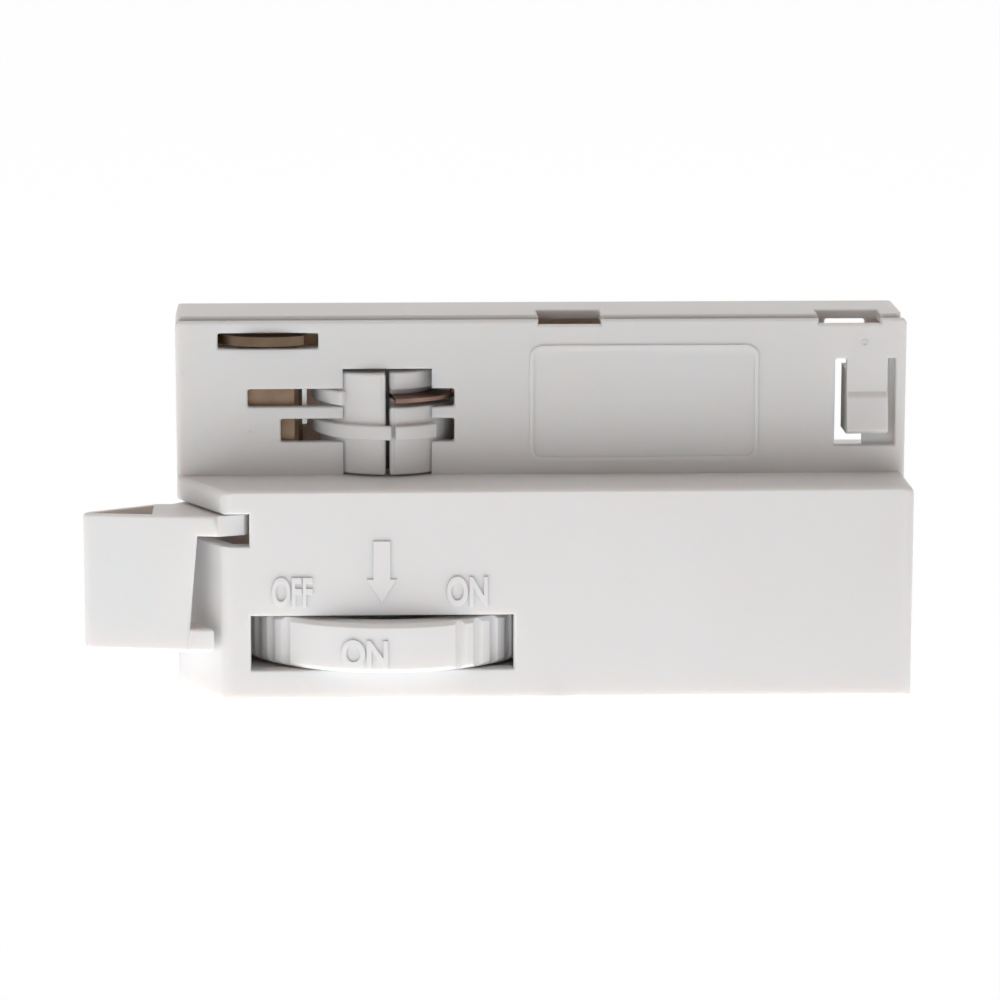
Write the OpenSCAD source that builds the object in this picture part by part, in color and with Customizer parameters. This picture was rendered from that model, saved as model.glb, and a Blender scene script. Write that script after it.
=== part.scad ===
// Track light adapter: a slim insert that goes up into the track, on a wide box that holds
// the ON and OFF thumb wheel, the lock lever and the terminals for the lamp.
// Millimetres, +Z up. The origin is the mouth of the lamp stem's thread in the underside.
// X runs along the adapter with the lever at -X, and the labelled front faces -Y.

/* [Box] */
// Length of the box and of the insert on it
body_l = 93.5; // [90:0.5:106]
// Width of the box
body_w = 35; // [33:0.5:38]
// Height of the box, up to the ledge that meets the track
box_h = 26.9; // [26:0.1:32]
// Thickness of the box's sides and ceiling
box_wall = 2; // [1.6:0.1:2.4]
// Length of the two slanted sides at the lever end
nose_l = 6.15; // [5:0.05:7]
// Thickness of the base cover
base_t = 2.4; // [2:0.1:3]

/* [Insert] */
// Width of the insert
insert_w = 14; // [13.6:0.1:15]
// Height of the insert above the ledge
insert_h = 19.9; // [19.6:0.1:24]
// Thickness of the insert's walls
insert_wall = 1.3; // [1:0.1:1.6]
// Thickness of the top cover
cover_t = 1.2; // [1:0.1:1.6]
// How far the top cover stands above the insert's walls
cover_out = 0.55; // [0.3:0.05:0.8]
// Length of the label panel's raised frame
panel_l = 29.4; // [20:0.1:32]
// Height of the label panel's raised frame
panel_h = 15; // [10:0.1:16]
// Distance from the label panel to the plain end
panel_from_end = 18.9; // [16:0.1:24]
// Width of the snap tongue
tongue_w = 5.3; // [4:0.1:6]
// Length of the snap tongue
tongue_l = 9.8; // [8:0.1:11]
// Width of the slit round the snap tongue
tongue_slit = 1.5; // [1:0.1:1.8]
// How far the wedge on the snap tongue stands out
wedge_out = 1; // [0.6:0.1:1.4]

/* [Switch] */
// Distance from the lamp stem's axis to the rotor's axis
rotor_to_stem = 40; // [39:0.5:44]
// Diameter of the thumb wheel
wheel_d = 41.5; // [40:0.5:43]
// Thickness of the thumb wheel's rim
wheel_t = 6.35; // [5:0.05:7]
// Height of the thumb wheel's underside
wheel_z = 3.95; // [3.9:0.05:5]
// Number of flutes that would fill the whole rim
flute_count = 50; // [40:1:60]
// Depth of a flute
flute_depth = 0.45; // [0.2:0.05:0.7]
// Diameter of the rotor's drum
drum_d = 17.3; // [16.6:0.1:17.6]
// Height of the rotor's drum
drum_h = 13; // [12.8:0.1:13.8]
// Diameter over the rotor's wings
wing_d = 19.4; // [18.6:0.1:19.6]
// Angle that the front wings cover together
wing_angle = 83; // [60:1:86]
// Height of the wings' underside above the ledge
wing_level = 4.9; // [4.4:0.1:5.2]
// Thickness of a wing
wing_t = 1.8; // [1.2:0.1:2]
// Diameter over the two contact blades
contact_d = 19.6; // [19:0.1:19.8]
// Height of a contact blade's underside above the ledge
contact_level = 9.75; // [9.6:0.05:10]
// Thickness of the contact blades and of the fixed leaves
blade_t = 0.5; // [0.4:0.05:0.6]
// Diameter of the rotor spindle where it drives the wheel and the drum
spindle_d = 5.2; // [4.6:0.1:5.4]

/* [Lock] */
// Distance from the lock shaft to the rotor's axis
lock_to_rotor = 15.2; // [15:0.1:15.6]
// Distance from the lock shaft to the lever end of the box
lock_from_end = 11.8; // [11:0.1:13]
// Diameter of the lock shaft
lock_d = 5; // [4.6:0.1:5.2]
// Diameter over the lock tab's two lobes
tab_d = 16; // [15:0.1:16.4]
// Thickness of the lock tab
tab_t = 1.2; // [0.8:0.1:1.4]
// Distance from the end of the box to the point where the lever's two sides would meet
lever_reach = 13.6; // [12:0.1:15]
// Radius of the lever's round tip
tip_r = 1; // [0.6:0.1:1.4]
// Height of the lever's underside
lever_z = 5.9; // [4:0.1:8]
// Thickness of the lever's arm
arm_t = 2.6; // [2:0.1:2.8]
// Thickness of the lip at the bottom of the lever
lip_t = 3.2; // [2:0.1:4]
// Wall of the pocket in the top of the lever
lever_wall = 0.9; // [0.7:0.1:1.2]
// Gap between the lever and the slanted side that it lies against
lever_gap = 1; // [0.8:0.1:1.5]

/* [Terminals] */
// Distance from the terminal block to the plain end
block_from_end = 6.5; // [6:0.1:9]
// Bore of the lamp stem's thread
stem_d = 9; // [8:0.1:9.4]
// Width across the flats of the stem nut
nut_af = 16; // [15:0.5:17]
// Height of the stem nut above the base cover
nut_h = 5; // [4:0.1:6]
// Distance between neighbouring terminals
terminal_pitch = 7; // [6.6:0.1:7.6]
// Diameter of the terminal screws
terminal_screw_d = 2.9; // [2.4:0.1:3]
// Diameter of the cover screws
cover_screw_d = 2.2; // [2:0.1:2.6]

/* [Clearances] */
// Running gap beside a part that turns
run_gap = 0.25; // [0.2:0.05:0.3]
// Radial play of a shaft in its bearing
shaft_gap = 0.08; // [0.05:0.01:0.1]
// Gap between pieces that are put together
seat_gap = 0.1; // [0.05:0.01:0.15]

/* [Hidden] */
$fn = 64;

white = "#e6e4e3";
brass = "#b08d4a";
copper = "#b06a45";
steel = "#9a9ca0";

// Cuts reach past the faces that they open
over = 1;
rotor_x = -rotor_to_stem;
lock_x = rotor_x - lock_to_rotor;
left_x = lock_x - lock_from_end;
right_x = left_x + body_l;
half_w = body_w / 2;
half_insert = insert_w / 2;
ledge_z = box_h;
ceiling_z = box_h - box_wall;
top_z = box_h + insert_h;
inner_half = half_insert - insert_wall;
inner_left = left_x + insert_wall;
inner_right = right_x - insert_wall;
cover_z = top_z + cover_out - cover_t;
cover_end = 0.6;
cover_r = 0.6;

// Slanted sides: X gained for each mm outwards, and the factor for a parallel wall
nose_slope = nose_l / (half_w - half_insert);
nose_factor = sqrt(1 + nose_slope * nose_slope);

wheel_r = wheel_d / 2;
wheel_top = wheel_z + wheel_t;
wheel_slot_left = 17.5;
wheel_slot_right = 15.8;
wheel_slot_over = 0.45;
shelf_w = 4;
shelf_y = half_w - box_wall - seat_gap - shelf_w;
drum_r = drum_d / 2;
drum_z = ledge_z + run_gap;
drum_top = drum_z + drum_h;
pocket_r = drum_r + run_gap;
window_over = 0.2;
wing_r = wing_d / 2;
wing_z = ledge_z + wing_level;
contact_r = contact_d / 2;
contact_z = ledge_z + contact_level;
contact_mid = contact_z + blade_t / 2;
sweep_r = max(wing_r, contact_r) + 2 * run_gap;
spindle_r = spindle_d / 2;
spindle_flats = 0.77 * spindle_d;
journal_step = 0.6;
journal_r = spindle_r - journal_step;
collar_r = spindle_r + 1.6;
hub_r = spindle_r + 2.9;
hub_top = wheel_top + 1.7;
blade_in = spindle_r + 0.6;

// Slots in the insert's walls for the blades and the wings
slot_right = sqrt(sweep_r * sweep_r - inner_half * inner_half);
upper_slot_left = 17.85;
upper_slot_h = 2.33;
upper_slot_z = contact_mid - upper_slot_h / 2;
lower_slot_left = 13.65;
lower_slot_h = wing_t + 1.2;
lower_slot_z = wing_z + (wing_t - lower_slot_h) / 2;

// Flange of a drum half, which takes the blade's place under a leaf when the switch is off
flange_z = upper_slot_z + run_gap;
flange_top = upper_slot_z + upper_slot_h - run_gap;
flange_angle = 52.5;
button_r = 0.5;
button_angle = -22;

// Contact holder: a bridge over the drum with a leg on each side
holder_z = drum_top + 2 * run_gap;
holder_t = 1.2;
holder_leg_x = sweep_r;
holder_leg_t = 0.6;
holder_leg_z = contact_z - 3.3;
holder_foot = 3;
leaf_y = 2.6;
leaf_w = inner_half - leaf_y - 2 * seat_gap;
leaf_x = holder_leg_x + holder_leg_t;
leaf_tip_x = sqrt(pocket_r * pocket_r - leaf_y * leaf_y);
leaf_tip_z = flange_top + run_gap;
run_z = ceiling_z - 2.6;
run_w = 3;
strip_z = holder_z + holder_t;

lock_r = lock_d / 2;
lock_square = 0.68 * lock_d;

// Flag of the earth leaf, which hangs in front of the lock shaft behind the long slots
flag_y = 0.7 - inner_half;
flag_left = lock_x - lock_r - 0.9;
flag_right = lock_x + lock_r + 0.8;
flag_z = lower_slot_z - 0.6;

tab_r = tab_d / 2;
tab_slot_h = tab_t + 0.8;
tab_slot_z = top_z - 1.5 - tab_slot_h;
tab_z = tab_slot_z + (tab_slot_h - tab_t) / 2;
tab_lobe_angle = 90;
tab_lead = 55;
tab_slot_half = sqrt(tab_r * tab_r - inner_half * inner_half) + 0.8;
boss_r = lock_r + 1.9;
arm_top = ceiling_z - 1.3;
arm_z = arm_top - arm_t;
boss_z = arm_z - 1.1;
boss_top = ceiling_z - run_gap;
lever_slot_z = arm_z - 1.3;
lever_slot_top = arm_top + run_gap;
lever_slot_x = rotor_x - 17.6;
clip_t = 0.5;
clip_z = boss_z - clip_t - seat_gap;

// Lever in plan: tip, corner at the front, and the two corners of its apex
apex_y = half_insert + 1.5;
apex_w = 2.2;
lever_set = 2.55;
lever_tip = [left_x - lever_reach, lever_set - half_w];
lever_front = [nose_x(half_w, lever_gap), -half_w];
lever_apex = [nose_x(apex_y, lever_gap), -apex_y];
lever_apex_tip = lever_apex - [apex_w, 0];
grip_back = 2;
grip_draft = 5;
front_slope = (lever_front[1] - lever_tip[1]) / (lever_front[0] - lever_tip[0]);
back_slope = (lever_apex_tip[1] - lever_tip[1]) / (lever_apex_tip[0] - lever_tip[0]);
grip_front = [lever_front[0] - grip_back, lever_front[1] - front_slope * grip_back];
grip_side = grip_front - lever_apex;
front_turn = atan(front_slope);
back_turn = atan(back_slope);
tip_half = (back_turn - front_turn) / 2;
tip_middle = lever_tip + tip_r / sin(tip_half) * [cos(front_turn + tip_half), sin(front_turn + tip_half)];
tip_steps = 7;
tip_arc = [for (i = [0 : tip_steps])
    let (a = back_turn + 90 + i * (180 - 2 * tip_half) / tip_steps)
    tip_middle + tip_r * [cos(a), sin(a)]];

// Terminal block under the ceiling, beside the stem
block_l = 10;
block_h = 11;
block_x = right_x - block_from_end - block_l;
block_z = ceiling_z - block_h;
block_half = 1.5 * terminal_pitch + 0.5;
clamp_w = 4.8;
clamp_l = 7;
clamp_wall = 0.8;
clamp_h = 6.8;
clamp_z = run_z + blade_t + clamp_wall - clamp_h;
clamp_x = block_x + (block_l - clamp_l) / 2;
terminal_r = terminal_screw_d / 2;
terminal_head_r = terminal_r + 0.8;
leaf_end_x = clamp_x + clamp_l;
leaf_drop = 2;

stem_r = stem_d / 2;
stem_spigot_r = stem_r + 2;
nut_socket_r = nut_af / sqrt(3) + 1.6;
bearing_r = journal_r + 2;
bearing_top = wheel_z - run_gap;
bearing_floor = 0.9;

screw_r = cover_screw_d / 2;
screw_head_r = screw_r + 1.2;
screw_head_t = 1.2;
screw_head_z = 0.3;
screw_l = 8;
screw_boss_r = screw_r + 2;
screw_boss_top = screw_head_z + screw_head_t + screw_l + 1;
screw_y = half_w - box_wall - screw_boss_r;
screw_to_wheel = 5.3;
screw_near = rotor_x + wheel_r + screw_to_wheel;
screw_far = right_x - box_wall - screw_boss_r;
screw_places = [[screw_near, -screw_y], [screw_near, screw_y], [screw_far, -screw_y], [screw_far, screw_y]];

// Snap tongue in the front wall near the plain end
tongue_x = right_x - 7.6;
tongue_top = top_z - 5.1;
tongue_end = tongue_top - tongue_l;
slit_right = min(tongue_x + tongue_w + tongue_slit, inner_right);
window_l = tongue_slit + 3.8;
window_top = cover_z - 1.15;

panel_x = right_x - panel_from_end - panel_l;
panel_z = ledge_z + 1.7;
panel_r = 1.8;
panel_line = 0.5;
panel_out = 0.25;

// Openings along the front edge of the top cover
notch_to_rotor = 19.3;
notch_x = rotor_x + notch_to_rotor;
notch_l = 8;
notch_deep = 5.9;
wall_notch = 0.67;
catch_from_end = 11.3;
catch_x = right_x - catch_from_end;
catch_l = 8;
catch_deep = 5;
seat_rib = 1.5;

// X of a line parallel to the slanted side, out from it by gap, at a distance y from the middle
function nose_x(y, gap) = left_x + nose_slope * (y - half_insert) - gap * nose_factor;

// Plan of the box, moved inwards by inset
function box_outline(inset) =
    let (end_y = half_insert - inset * (nose_factor - 1) / nose_slope)
    let (side_y = half_w - inset)
    let (shoulder_x = nose_x(side_y, -inset))
    [[left_x + inset, -end_y], [left_x + inset, end_y], [shoulder_x, side_y],
     [right_x - inset, side_y], [right_x - inset, -side_y], [shoulder_x, -side_y]];

// A block given by its two corners
module block(low, high) {
    translate(low) cube(high - low);
}

// A rectangle with round corners
module round_rect(l, w, r) {
    translate([r, 0]) square([l - 2 * r, w]);
    translate([0, r]) square([l, w - 2 * r]);
    for (x = [r, l - r], y = [r, w - r]) translate([x, y]) circle(r);
}

// Moves a flat drawing, X along and Y up, onto a plane that faces the front
module on_front(x, y, z, depth) {
    translate([x, y, z]) rotate([90, 0, 0]) linear_extrude(depth) children();
}

// A ring or part of a ring about the rotor's axis, from an angle on
module rotor_sector(r_in, r_out, z, h, start, angle) {
    translate([rotor_x, 0, z]) rotate([0, 0, start])
        rotate_extrude(angle = angle) translate([r_in, 0]) square([r_out - r_in, h]);
}

// The spindle's section with two flats, grown by gap
module spindle_section(gap) {
    intersection() {
        circle(spindle_r + gap);
        square([spindle_d + 4 * gap, spindle_flats + 2 * gap], center = true);
    }
}

// Box with its ceiling, open below
module box_shell() {
    difference() {
        linear_extrude(box_h) polygon(box_outline(0));
        translate([0, 0, -over]) linear_extrude(ceiling_z + over) polygon(box_outline(box_wall));
    }
}

// Posts in the box that take the cover screws, each with a web to the side wall
module screw_posts() {
    for (p = screw_places) {
        translate([p[0], p[1], base_t]) cylinder(r = screw_boss_r, h = screw_boss_top - base_t);
        web_y = sign(p[1]) * (half_w - box_wall / 2);
        block([p[0] - screw_r, min(p[1], web_y), base_t],
            [p[0] + screw_r, max(p[1], web_y), screw_boss_top]);
    }
}

// Rib on the lever end's wall that carries the contact holder
module holder_rib() {
    block([inner_left, -inner_half, holder_z - seat_rib],
        [inner_left + seat_rib, inner_half, holder_z]);
}

// Thin raised frame of the label panel
module panel_frame() {
    on_front(panel_x, -half_insert, panel_z, panel_out) difference() {
        round_rect(panel_l, panel_h, panel_r);
        translate([panel_line, panel_line])
            round_rect(panel_l - 2 * panel_line, panel_h - 2 * panel_line, panel_r - panel_line);
    }
}

// Wedge on the lower half of the snap tongue, and the rib that stiffens it inside
module tongue_wedge() {
    wedge_h = 0.56 * tongue_l;
    wedge_foot = 0.5;
    wedge_flat = 0.4;
    step_h = 0.7;
    step_out = 0.5 * wedge_out;
    rib_t = 0.9;
    rib_d = 4.6;
    translate([tongue_x, -half_insert, tongue_end]) rotate([90, 0, 90]) linear_extrude(tongue_w)
        polygon([[0, 0], [-wedge_out, wedge_foot], [-wedge_out, wedge_foot + wedge_flat],
            [-step_out, wedge_h - step_h], [0, wedge_h]]);
    block([tongue_x, -half_insert, tongue_end],
        [tongue_x + rib_t, rib_d - inner_half, tongue_top - tongue_slit]);
}

// Stop behind the slit's lower right part, clear of the tongue's way inwards
module tongue_stop() {
    stop_from = 2.3;
    stop_t = 1.2;
    wall_y = -inner_half - insert_wall / 2;
    block([tongue_x + stop_from, wall_y, ledge_z], [inner_right, stop_t - inner_half, tongue_end - run_gap]);
    block([tongue_x + tongue_w + run_gap, wall_y, ledge_z],
        [inner_right, stop_t - inner_half, tongue_top + tongue_slit]);
}

// Slits round the snap tongue, and the window behind it that the mould's core leaves
module tongue_slits() {
    front = -half_insert - over;
    back = -inner_half + run_gap;
    block([tongue_x - tongue_slit, front, tongue_end - tongue_slit], [tongue_x, back, tongue_top]);
    block([tongue_x - tongue_slit, front, tongue_end - tongue_slit], [slit_right, back, tongue_end]);
    block([tongue_x + tongue_w, front, tongue_end - tongue_slit], [slit_right, back, tongue_top]);
    block([tongue_x - tongue_slit, inner_half - over, ledge_z + run_gap],
        [tongue_x - tongue_slit + window_l, half_insert + over, window_top]);
}

// Slot for the thumb wheel, through the front and the back of the box
module wheel_slots() {
    block([rotor_x - wheel_slot_left, -half_w - over, wheel_z - run_gap],
        [rotor_x + wheel_slot_right, half_w + over, wheel_top + wheel_slot_over]);
}

// Slot for the lever's arm, all round the lever end of the box
module lever_slot() {
    block([left_x - over, -half_w - over, lever_slot_z], [lever_slot_x, half_w + over, lever_slot_top]);
}

// Window where the drum stands out, with the slots for its wings and blades
module rotor_openings() {
    translate([rotor_x, 0, ledge_z]) cylinder(r = pocket_r, h = drum_h + 2 * run_gap + window_over);
    front = -half_insert - over;
    for (slot = [[upper_slot_left, upper_slot_z, upper_slot_h],
            [lower_slot_left, lower_slot_z, lower_slot_h]]) {
        block([rotor_x - slot[0], front, slot[1]], [rotor_x, 0, slot[1] + slot[2]]);
        block([rotor_x - slot_right, front, slot[1]],
            [rotor_x + slot_right, half_insert + over, slot[1] + slot[2]]);
    }
}

module tab_slots() {
    block([lock_x - tab_slot_half, -half_insert - over, tab_slot_z],
        [lock_x + tab_slot_half, half_insert + over, tab_slot_z + tab_slot_h]);
}

// Notches in the front wall's top edge beside the top cover's openings
module wall_notches() {
    for (notch = [[notch_x, notch_l], [catch_x, catch_l]])
        block([notch[0], -half_insert - over, top_z - wall_notch],
            [notch[0] + notch[1], -inner_half + over, top_z + over]);
}

module housing() {
    color(white) difference() {
        union() {
            box_shell();
            screw_posts();
            difference() {
                block([left_x, -half_insert, ledge_z - box_wall / 2], [right_x, half_insert, top_z]);
                block([inner_left, -inner_half, 0], [inner_right, inner_half, top_z + over]);
            }
            holder_rib();
            panel_frame();
            tongue_wedge();
            tongue_stop();
        }
        block([left_x + box_wall, -inner_half, ceiling_z - over],
            [right_x - box_wall, inner_half, ledge_z + over]);
        wheel_slots();
        lever_slot();
        rotor_openings();
        tab_slots();
        tongue_slits();
        wall_notches();
        block([left_x - over, -inner_half, cover_z], [right_x + over, inner_half, top_z + over]);
        for (p = screw_places)
            translate([p[0], p[1], 0]) cylinder(r = screw_r + seat_gap / 2, h = screw_boss_top - over);
    }
}

// Bottom plate with the wheel's lower bearing, a shelf behind each wheel slot and the nut's socket
module base_cover() {
    color(white) difference() {
        union() {
            linear_extrude(base_t) polygon(box_outline(box_wall + seat_gap));
            translate([rotor_x, 0, 0]) cylinder(r = bearing_r, h = bearing_top);
            for (side = [-1, 1]) translate([rotor_x, side * (shelf_y + shelf_w / 2), 0])
                block([-wheel_slot_left, -shelf_w / 2, 0],
                    [wheel_slot_right, shelf_w / 2, wheel_z - 2 * run_gap]);
            cylinder(r = nut_socket_r, h = base_t + nut_h - 1);
        }
        translate([rotor_x, 0, bearing_floor]) cylinder(r = journal_r + shaft_gap, h = wheel_z);
        translate([0, 0, -over]) cylinder(r = stem_spigot_r + seat_gap, h = base_t + 2 * over);
        translate([0, 0, base_t]) cylinder(r = (nut_af + 2 * seat_gap) / sqrt(3), h = nut_h, $fn = 6);
        for (p = screw_places) translate([p[0], p[1], -over]) {
            cylinder(r = screw_head_r + seat_gap, h = screw_head_z + screw_head_t + over);
            cylinder(r = screw_r + seat_gap, h = base_t + 2 * over);
        }
    }
}

module cover_screws() {
    color(steel) for (p = screw_places) translate([p[0], p[1], screw_head_z]) difference() {
        union() {
            cylinder(r = screw_head_r, h = screw_head_t);
            cylinder(r = screw_r, h = screw_head_t + screw_l);
        }
        for (a = [0, 90]) rotate([0, 0, a])
            block([-screw_r, -0.3, -over], [screw_r, 0.3, screw_head_t / 2]);
    }
}

// Strip lid between the side walls, on the two end walls, with two openings at its front edge
module top_cover() {
    half = inner_half - seat_gap;
    color(white) difference() {
        translate([left_x, -half, cover_z]) linear_extrude(cover_t)
            round_rect(body_l - cover_end, 2 * half, cover_r);
        for (opening = [[notch_x, notch_l, notch_deep], [catch_x, catch_l, catch_deep]])
            block([opening[0], -half_insert - over, cover_z - over],
                [opening[0] + opening[1], opening[2] - half_insert, cover_z + cover_t + over]);
    }
}

// Bridge over the drum: bears the spindle's top and the lock shaft, and backs the leaves
module contact_holder() {
    width = inner_half - seat_gap;
    color(white) difference() {
        union() {
            block([inner_left + seat_gap, -width, holder_z],
                [rotor_x + leaf_x + blade_t + holder_foot, width, strip_z]);
            for (side = [-1, 1])
                translate([rotor_x + side * (holder_leg_x + holder_leg_t / 2), 0, 0])
                    block([-holder_leg_t / 2, -width, holder_leg_z], [holder_leg_t / 2, width, holder_z]);
        }
        translate([rotor_x, 0, holder_z - over]) cylinder(r = journal_r + shaft_gap, h = holder_t + 2 * over);
        translate([lock_x, 0, holder_z - over]) cylinder(r = lock_r + shaft_gap, h = holder_t + 2 * over);
        block([flag_left - seat_gap, -width - over, holder_z - over],
            [flag_right + seat_gap, flag_y + blade_t + seat_gap, strip_z + over]);
        for (turn = [0, 180]) translate([rotor_x, 0, 0]) rotate([0, 0, turn])
            block([holder_leg_x - over, -leaf_y - leaf_w - seat_gap, leaf_tip_z - seat_gap],
                [leaf_x + over, seat_gap - leaf_y, leaf_tip_z + blade_t + seat_gap]);
    }
}

// Wheel with a fluted rim and two smooth pads, one for ON and one for OFF
module thumb_wheel() {
    rim_edge = 0.5;
    rim_in = wheel_r - 3.2;
    web_z = wheel_z + 2.1;
    web_t = 2;
    step = 360 / flute_count;
    pad_start = -64.4;
    pad_half = 30.6;
    pad_turn = 90;
    flute_r = 0.7;
    color(white) difference() {
        union() {
            translate([rotor_x, 0, 0]) rotate_extrude() polygon([
                [0, wheel_z], [hub_r, wheel_z], [hub_r, web_z], [rim_in, web_z], [rim_in, wheel_z],
                [wheel_r - rim_edge, wheel_z], [wheel_r, wheel_z + rim_edge],
                [wheel_r, wheel_top - rim_edge], [wheel_r - rim_edge, wheel_top],
                [rim_in, wheel_top], [rim_in, web_z + web_t], [hub_r, web_z + web_t],
                [hub_r, hub_top], [0, hub_top]]);
        }
        translate([rotor_x, 0, wheel_z - over]) linear_extrude(hub_top) spindle_section(seat_gap / 2);
        for (a = [0 : step : 360 - 2 * pad_half])
            if (a <= pad_turn - 2 * pad_half || a >= pad_turn)
                translate([rotor_x, 0, wheel_z - over]) rotate([0, 0, pad_start + a])
                    translate([wheel_r + flute_r - flute_depth, 0, 0])
                        cylinder(r = flute_r, h = wheel_t + 2 * over);
    }
}

module rotor_spindle() {
    color(white) translate([rotor_x, 0, 0]) {
        translate([0, 0, bearing_floor + run_gap])
            cylinder(r = journal_r, h = wheel_z - bearing_floor - run_gap);
        translate([0, 0, wheel_z]) linear_extrude(hub_top - wheel_z) spindle_section(0);
        translate([0, 0, hub_top]) cylinder(r = collar_r, h = drum_z - hub_top);
        translate([0, 0, drum_z]) linear_extrude(drum_h) spindle_section(0);
        translate([0, 0, drum_top]) cylinder(r = journal_r, h = holder_z + holder_t - seat_gap - drum_top);
    }
}

// One half of the split drum, with its wings, its flange and the notch for its blade.
// Above the blade the drum is set back, and the rear wing laps over the split.
module rotor_half() {
    split_gap = 0.5;
    notch_in = 6.2;
    notch_h = 2;
    notch_angle = 78;
    notch_z = contact_mid - notch_h / 2;
    cheek_r = drum_r - 1.35;
    cheek_angle = notch_angle - 4;
    lap_w = 0.5;
    lap_in = drum_r + seat_gap;
    wing_start = 6;
    difference() {
        union() {
            rotor_sector(0, drum_r, drum_z, drum_h, -90, 180);
            rotor_sector(spindle_r, wing_r, wing_z, wing_t, wing_start - 90, wing_angle / 2 - wing_start);
            rotor_sector(spindle_r, wing_r, wing_z, wing_t, 0, 90 + wing_start);
            rotor_sector(spindle_r, wing_r, flange_z, flange_top - flange_z, 0, flange_angle);
        }
        translate([rotor_x, 0, drum_z - over]) linear_extrude(drum_h + 2 * over)
            spindle_section(seat_gap / 2);
        translate([rotor_x, 0, drum_z - over]) linear_extrude(drum_h + 2 * over)
            polygon([[-wing_r, -wing_r - over], [split_gap / 2, -wing_r - over], [split_gap / 2, lap_in],
                [-lap_w, lap_in], [-lap_w, wing_r + over], [-wing_r, wing_r + over]]);
        rotor_sector(notch_in, wing_r + over, notch_z, notch_h, -95, notch_angle);
        rotor_sector(cheek_r, wing_r + over, contact_mid, drum_top + over - contact_mid, -95, cheek_angle);
        rotor_sector(blade_in, notch_in + over, contact_z, blade_t, -95, notch_angle);
    }
}

module rotor_right_half() {
    color(white) rotor_half();
}

module rotor_left_half() {
    color(white) translate([rotor_x, 0, 0]) rotate([0, 0, 180]) translate([-rotor_x, 0, 0]) rotor_half();
}

// Flat blade that leaves the drum at the front, with a button under its fixed leaf
module contact_blade() {
    color(copper) {
        rotor_sector(blade_in + seat_gap, contact_r, contact_z, blade_t, -84, 64);
        translate([rotor_x, 0, contact_z]) rotate([0, 0, button_angle])
            translate([contact_r - button_r, 0, 0]) cylinder(r = button_r, h = flange_top - contact_z);
    }
}

module phase_contact() {
    contact_blade();
}

module neutral_contact() {
    translate([rotor_x, 0, 0]) rotate([0, 0, 180]) translate([-rotor_x, 0, 0]) contact_blade();
}

// Upright part of a leaf on the holder's leg, with the tip that lies over the blade
module leaf_upright() {
    block([leaf_x, -leaf_y - leaf_w, run_z], [leaf_x + blade_t, -leaf_y, leaf_tip_z + blade_t]);
    block([leaf_tip_x, -leaf_y - leaf_w, leaf_tip_z], [leaf_x + blade_t, -leaf_y, leaf_tip_z + blade_t]);
}

// Flat run of a leaf under the ceiling to the terminal on its side
module leaf_run(foot_x, side) {
    lane = side * terminal_pitch;
    near = side * leaf_y;
    block([foot_x, min(near, lane - run_w / 2), run_z],
        [foot_x + run_w, max(near, lane + run_w / 2), run_z + blade_t]);
    block([foot_x, lane - run_w / 2, run_z], [leaf_end_x, lane + run_w / 2, run_z + blade_t]);
}

module phase_leaf() {
    color(brass) {
        translate([rotor_x, 0, 0]) leaf_upright();
        leaf_run(rotor_x + leaf_x, -1);
    }
}

module neutral_leaf() {
    color(brass) {
        translate([rotor_x, 0, 0]) rotate([0, 0, 180]) leaf_upright();
        leaf_run(rotor_x - leaf_x - blade_t, 1);
    }
}

// Strip on top of the holder: a ring round the lock shaft with a flag, and a run to the middle terminal
module earth_leaf() {
    drop_x = block_x - leaf_drop;
    color(brass) difference() {
        union() {
            translate([lock_x, 0, strip_z]) cylinder(r = lock_r + 1.7, h = blade_t);
            block([flag_left, flag_y, strip_z], [flag_right, 0, strip_z + blade_t]);
            block([flag_left, flag_y, flag_z], [flag_right, flag_y + blade_t, strip_z + blade_t]);
            block([lock_x, -run_w / 2, strip_z], [drop_x + blade_t, run_w / 2, strip_z + blade_t]);
            block([drop_x, -run_w / 2, run_z], [drop_x + blade_t, run_w / 2, strip_z + blade_t]);
            block([drop_x, -run_w / 2, run_z], [leaf_end_x, run_w / 2, run_z + blade_t]);
        }
        translate([lock_x, 0, strip_z - over]) cylinder(r = lock_r + shaft_gap, h = blade_t + 2 * over);
    }
}

// Grip of the lever: solid lip below, pocketed body above it whose inner side leans away downwards
module lever_grip() {
    pocket_right = lever_apex_tip[0] - 0.4;
    front_step = lever_wall * sqrt(1 + front_slope * front_slope);
    back_step = lever_wall * sqrt(1 + back_slope * back_slope);
    pocket_run = (front_step + back_step) / (back_slope - front_slope);
    pocket_tip = lever_tip + [pocket_run, front_slope * pocket_run + front_step];
    pocket_l = pocket_right - lever_tip[0];
    difference() {
        union() {
            translate([0, 0, lever_z]) linear_extrude(lip_t)
                polygon(concat(tip_arc, [lever_front, lever_apex, lever_apex_tip]));
            difference() {
                translate([0, 0, lever_z]) linear_extrude(arm_top - lever_z)
                    polygon(concat(tip_arc, [grip_front, lever_apex, lever_apex_tip]));
                translate([grip_front[0], grip_front[1], arm_z])
                    rotate([0, 0, atan2(grip_side[1], grip_side[0])]) rotate([-grip_draft, 0, 0])
                        translate([-norm(grip_side) - over, 0, -arm_z])
                            cube([norm(grip_side) + 2 * over, grip_back + over, arm_z]);
            }
        }
        translate([0, 0, lever_z + lip_t]) linear_extrude(arm_top) polygon([pocket_tip,
            [pocket_right, lever_tip[1] + front_slope * pocket_l + front_step],
            [pocket_right, lever_tip[1] + back_slope * pocket_l - back_step]]);
    }
}

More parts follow.
